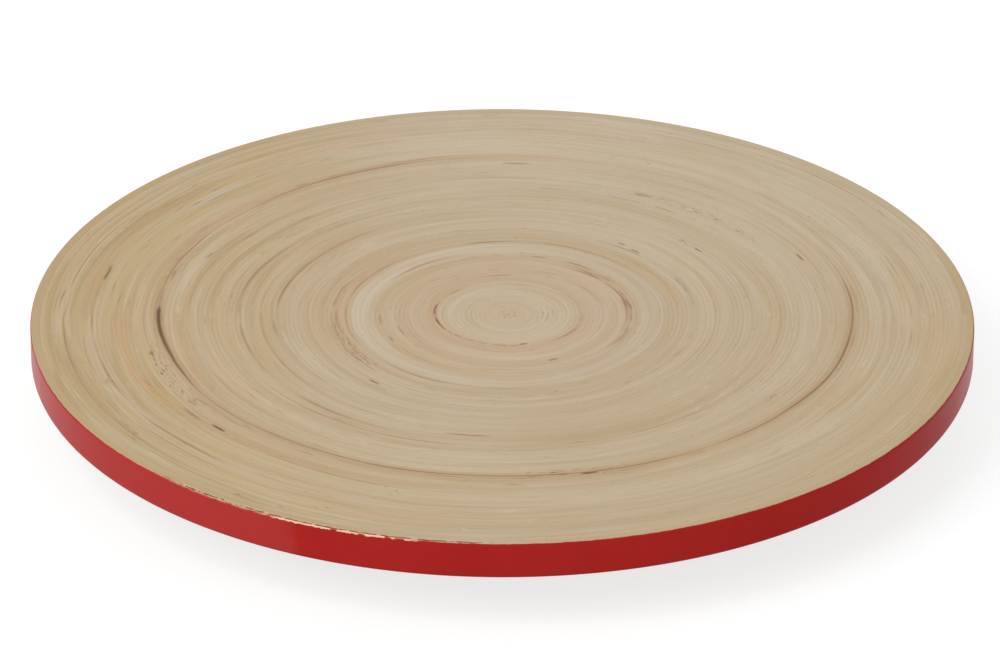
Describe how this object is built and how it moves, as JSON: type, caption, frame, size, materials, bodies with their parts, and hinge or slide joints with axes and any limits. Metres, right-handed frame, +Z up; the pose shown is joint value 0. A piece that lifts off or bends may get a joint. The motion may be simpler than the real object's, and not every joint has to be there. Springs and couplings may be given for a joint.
{
  "type": "lazy susan turntable",
  "caption": "Low round turntable: a disc of wound bamboo strip with a red lacquered rim turns on a ball-bearing ring over a small base on rubber feet.",
  "frame": {"origin": "on the table, under the turning axis", "axes": "+Z up along the turning axis; +X towards the hole in the base for a screwdriver and the first screw of the turning ring; +Y completes a right-handed frame"},
  "size_m": [0.35, 0.35, 0.038],
  "materials": {
    "natural_bamboo": "satin, clear sealed bamboo edge grain",
    "red_lacquer_bamboo": "gloss red lacquer on the outside, bare bamboo on top and below",
    "ring_aluminium": "turned, satin",
    "zinc_steel": "bright zinc plated",
    "polished_steel": "polished",
    "white_nylon": "matte",
    "black_rubber": "matte, moulded"
  },
  "bodies": {
    "base": {"base_disc": "natural_bamboo", "bearing_inner_ring": "ring_aluminium", "inner_ring_screws": "zinc_steel", "rubber_foot_1": "black_rubber", "rubber_foot_2": "black_rubber", "rubber_foot_3": "black_rubber", "rubber_foot_4": "black_rubber", "foot_washers": "zinc_steel", "foot_screws": "zinc_steel"},
    "ball_row": {"ball_retainer": "white_nylon", "bearing_balls": "polished_steel"},
    "turntable": {"bamboo_strip_01": "natural_bamboo", "bamboo_strip_02": "natural_bamboo", "bamboo_strip_03": "natural_bamboo", "bamboo_strip_04": "natural_bamboo", "bamboo_strip_05": "natural_bamboo", "bamboo_strip_06": "natural_bamboo", "bamboo_strip_07": "natural_bamboo", "bamboo_strip_08": "natural_bamboo", "bamboo_strip_09": "natural_bamboo", "bamboo_strip_10": "natural_bamboo", "bamboo_strip_11": "natural_bamboo", "bamboo_strip_12": "natural_bamboo", "bamboo_strip_13": "natural_bamboo", "bamboo_strip_14": "natural_bamboo", "bamboo_strip_15": "natural_bamboo", "bamboo_strip_16": "natural_bamboo", "edge_strip": "red_lacquer_bamboo", "bearing_outer_ring": "ring_aluminium", "ball_filler_plug": "zinc_steel", "outer_ring_screws": "zinc_steel"}
  },
  "joints": [
    {"name": "turntable_spin", "type": "hinge", "parent": "base", "child": "turntable", "pos_m": [0, 0, 0.019], "axis": [0, 0, 1], "continuous": true},
    {"name": "ball_row_spin", "type": "hinge", "parent": "base", "child": "ball_row", "pos_m": [0, 0, 0.019], "axis": [0, 0, 1], "continuous": true}
  ],
  "couplings": [
    {"joint": "ball_row_spin", "follows": "turntable_spin", "ratio": 0.5114}
  ]
}
